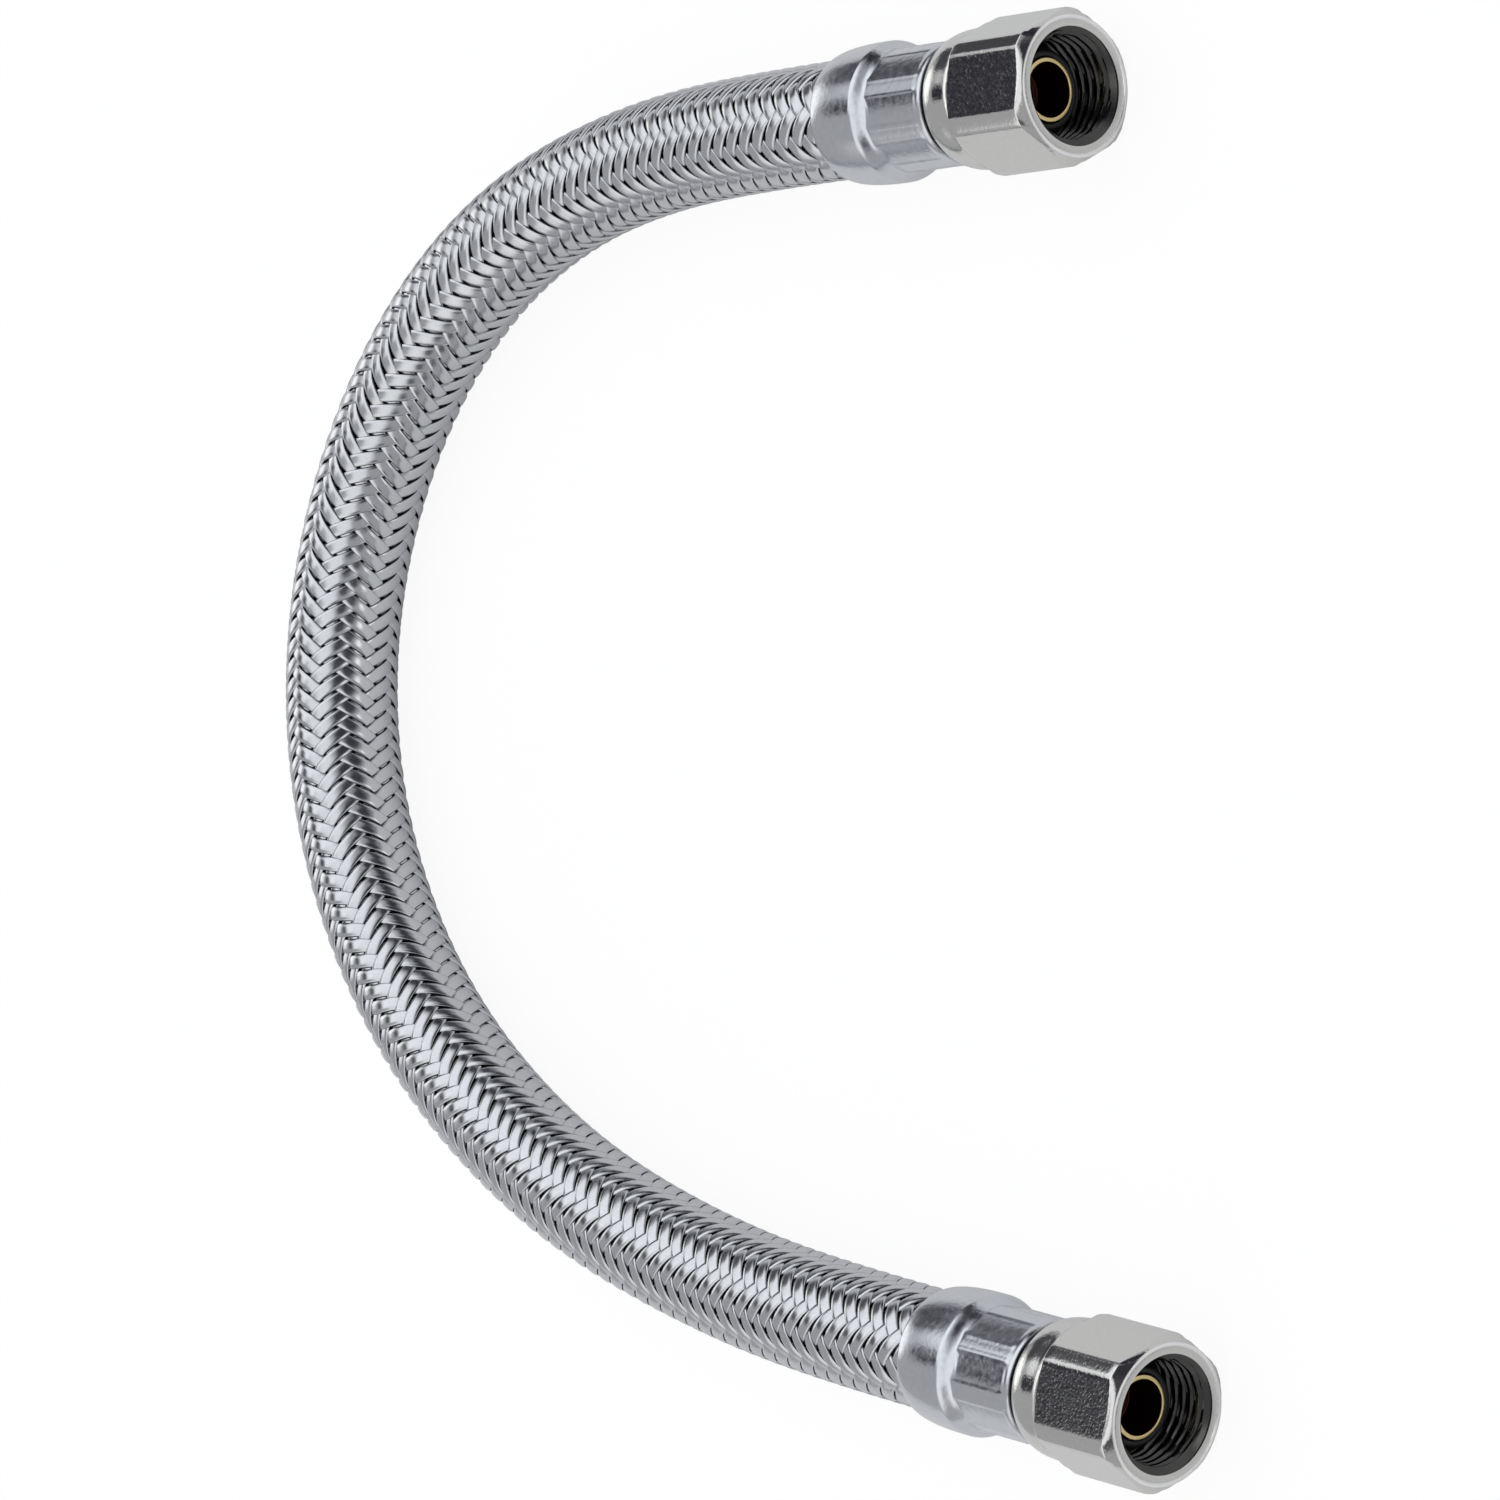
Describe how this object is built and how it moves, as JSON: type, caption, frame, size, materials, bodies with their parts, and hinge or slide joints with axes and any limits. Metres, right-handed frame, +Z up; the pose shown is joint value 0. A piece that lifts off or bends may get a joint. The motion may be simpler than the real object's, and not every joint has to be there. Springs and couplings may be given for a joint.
{
  "type": "braided ice maker hose",
  "caption": "Short braided steel water hose lying in a C-shaped bend, with a crimped ferrule and a swivelling hexagon nut on each end.",
  "frame": {"origin": "on the surface that the hose lies on, under the middle of its overall box", "axes": "+Z up, +X the way that the open side of the bend and both nuts point, +Y towards the inlet end"},
  "size_m": [0.1433, 0.1398, 0.0141],
  "materials": {
    "braid": "bright drawn wire, woven in flat strips",
    "liner": "plain extruded tube",
    "ferrule": "satin, pressed by crimping jaws",
    "stem": "turned",
    "seal": "moulded black",
    "nut": "bright plating over milled brass"
  },
  "bodies": {
    "hose": {"braid_sleeve": "braid", "hose_liner": "liner", "inlet_ferrule": "ferrule", "outlet_ferrule": "ferrule", "inlet_stem": "stem", "outlet_stem": "stem", "inlet_seal": "seal", "outlet_seal": "seal"},
    "inlet_nut": {"inlet_nut": "nut"},
    "outlet_nut": {"outlet_nut": "nut"}
  },
  "joints": [
    {"name": "inlet_nut_turn", "type": "hinge", "parent": "hose", "child": "inlet_nut", "pos_m": [0.0416, 0.0623, 0.00705], "axis": [0.9945, 0.1045, 0], "continuous": true},
    {"name": "outlet_nut_turn", "type": "hinge", "parent": "hose", "child": "outlet_nut", "pos_m": [0.0712, -0.0623, 0.00705], "axis": [0.9973, -0.0732, 0], "continuous": true}
  ]
}
